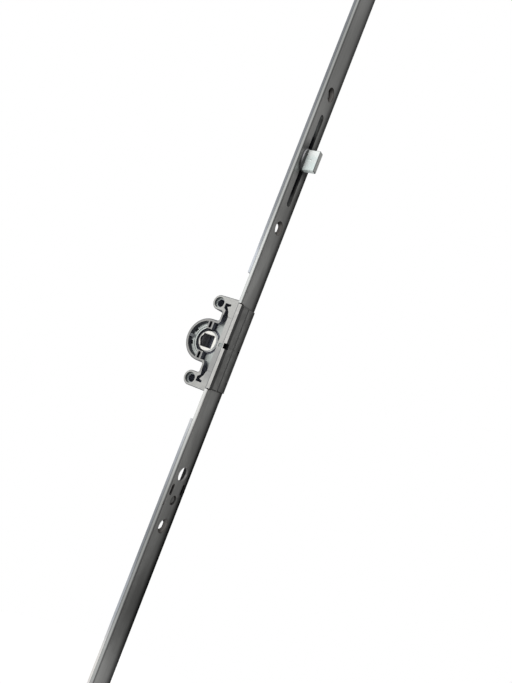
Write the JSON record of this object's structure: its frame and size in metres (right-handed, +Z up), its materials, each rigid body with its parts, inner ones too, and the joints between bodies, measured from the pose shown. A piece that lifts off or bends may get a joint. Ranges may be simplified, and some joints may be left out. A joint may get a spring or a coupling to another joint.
{
  "type": "window espagnolette gearbox",
  "caption": "Slotted steel faceplate with a sliding drive rod, a locking cam and a die-cast gearbox whose square-bored follower drives the rod from a window handle.",
  "frame": {"origin": "on the spindle axis, in the plane where the two casing halves meet", "axes": "+Z up along the rail, +X out of the faceplate's front, -Y the side on which the open casing shows in the picture"},
  "size_m": [0.0339, 0.016, 0.48],
  "materials": {
    "rail_steel": "dull zinc-plated steel",
    "rod_steel": "dull zinc-plated steel",
    "cast_zinc": "as-cast zinc alloy, satin",
    "follower_zinc": "bright cast zinc alloy",
    "cam_zinc": "bright zinc plating",
    "black_steel": "black phosphated steel",
    "rivet_steel": "upset steel rivets"
  },
  "bodies": {
    "case": {"faceplate": "rail_steel", "housing_near": "cast_zinc", "housing_far": "cast_zinc", "housing_rivets": "rivet_steel", "rod_guide": "rivet_steel"},
    "follower": {"spindle_follower": "follower_zinc"},
    "rod": {"drive_rod": "rod_steel", "rack_bar": "rod_steel", "rack_rivets": "rivet_steel", "cam_head": "cam_zinc", "cam_washer": "cam_zinc", "cam_carrier": "black_steel", "carrier_rivets": "rivet_steel"}
  },
  "joints": [
    {"name": "follower_turn", "type": "hinge", "parent": "case", "child": "follower", "pos_m": [0, 0, 0], "axis": [0, -1, 0], "range_deg": [-90, 90]},
    {"name": "rod_slide", "type": "slide", "parent": "case", "child": "rod", "axis": [0, 0, 1], "range_m": [-0.01382, 0.01382]}
  ],
  "couplings": [
    {"joint": "follower_turn", "follows": "rod_slide", "rad_per_m": 113.64}
  ]
}
